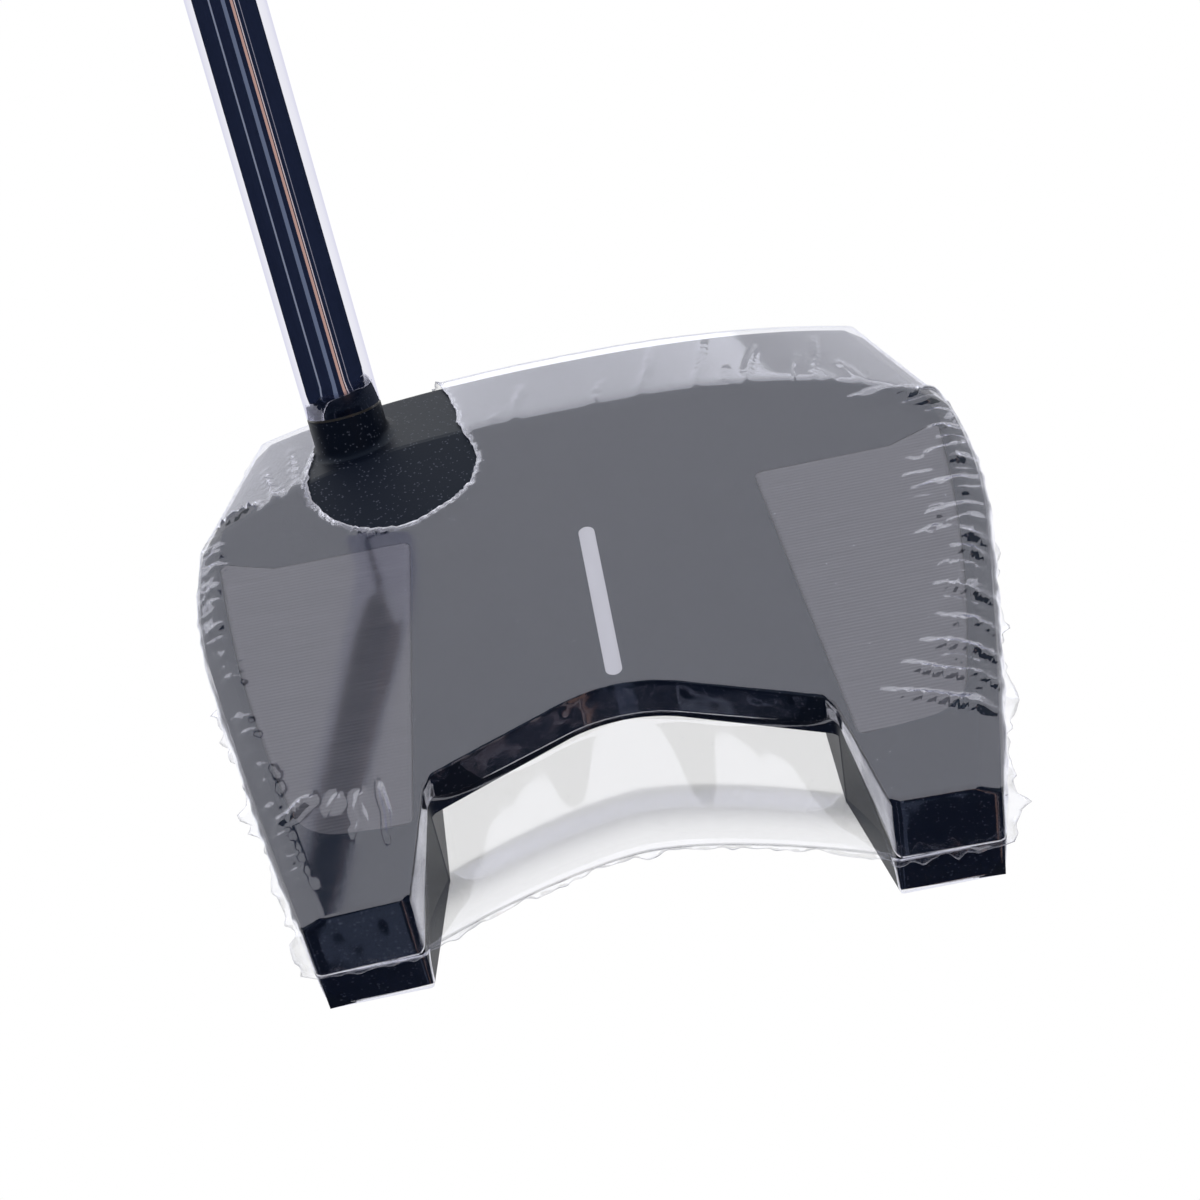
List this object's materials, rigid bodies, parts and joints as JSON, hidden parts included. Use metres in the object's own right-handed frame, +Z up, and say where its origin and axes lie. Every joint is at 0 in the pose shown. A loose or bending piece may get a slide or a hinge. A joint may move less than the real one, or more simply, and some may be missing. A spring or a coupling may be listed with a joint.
{
  "type": "mallet putter",
  "caption": "Right-handed winged mallet putter: satin black two-pronged head under clear shrink film, bent chrome shaft over the hosel and a pistol grip.",
  "frame": {"origin": "on the ground at the middle of the sole's flat pad, with the head square and soled", "axes": "+X towards the toe, +Y towards the target along the line of play, +Z up"},
  "size_m": [0.3578, 0.1307, 0.8156],
  "materials": {
    "head_black": "milled, satin black with a fine sparkle",
    "panel_anodised": "dark anodised, finely milled rows",
    "adhesive_tape": "thin double-sided tape",
    "grip_tape": "double-sided grip tape",
    "sightline_enamel": "matt white enamel",
    "insert_urethane": "firm urethane with fine grooves",
    "sole_plate_steel": "brushed",
    "damping_rubber": "soft moulded",
    "screw_steel": "black oxide",
    "weight_tungsten": "turned",
    "nylon_washer": "natural nylon",
    "post_steel": "turned",
    "epoxy": "cured adhesive",
    "shaft_chrome": "polished chrome plate",
    "grip_rubber": "moulded, finely textured",
    "cap_plastic": "moulded",
    "clear_film": "clear shrink film"
  },
  "bodies": {
    "root": {"head_body": "head_black", "heel_wing_panel": "panel_anodised", "toe_wing_panel": "panel_anodised", "heel_panel_tape": "adhesive_tape", "toe_panel_tape": "adhesive_tape", "insert_tape": "adhesive_tape", "grip_tape": "grip_tape", "sightline_fill": "sightline_enamel", "face_insert": "insert_urethane", "sole_plate": "sole_plate_steel", "damping_pad": "damping_rubber", "sole_plate_screws": "screw_steel", "heel_sole_weight": "weight_tungsten", "toe_sole_weight": "weight_tungsten", "heel_weight_washer": "nylon_washer", "toe_weight_washer": "nylon_washer", "hosel_post": "post_steel", "shaft_bond": "epoxy", "shaft": "shaft_chrome", "grip": "grip_rubber", "grip_cap": "cap_plastic", "shrink_film": "clear_film"}
  },
  "joints": []
}
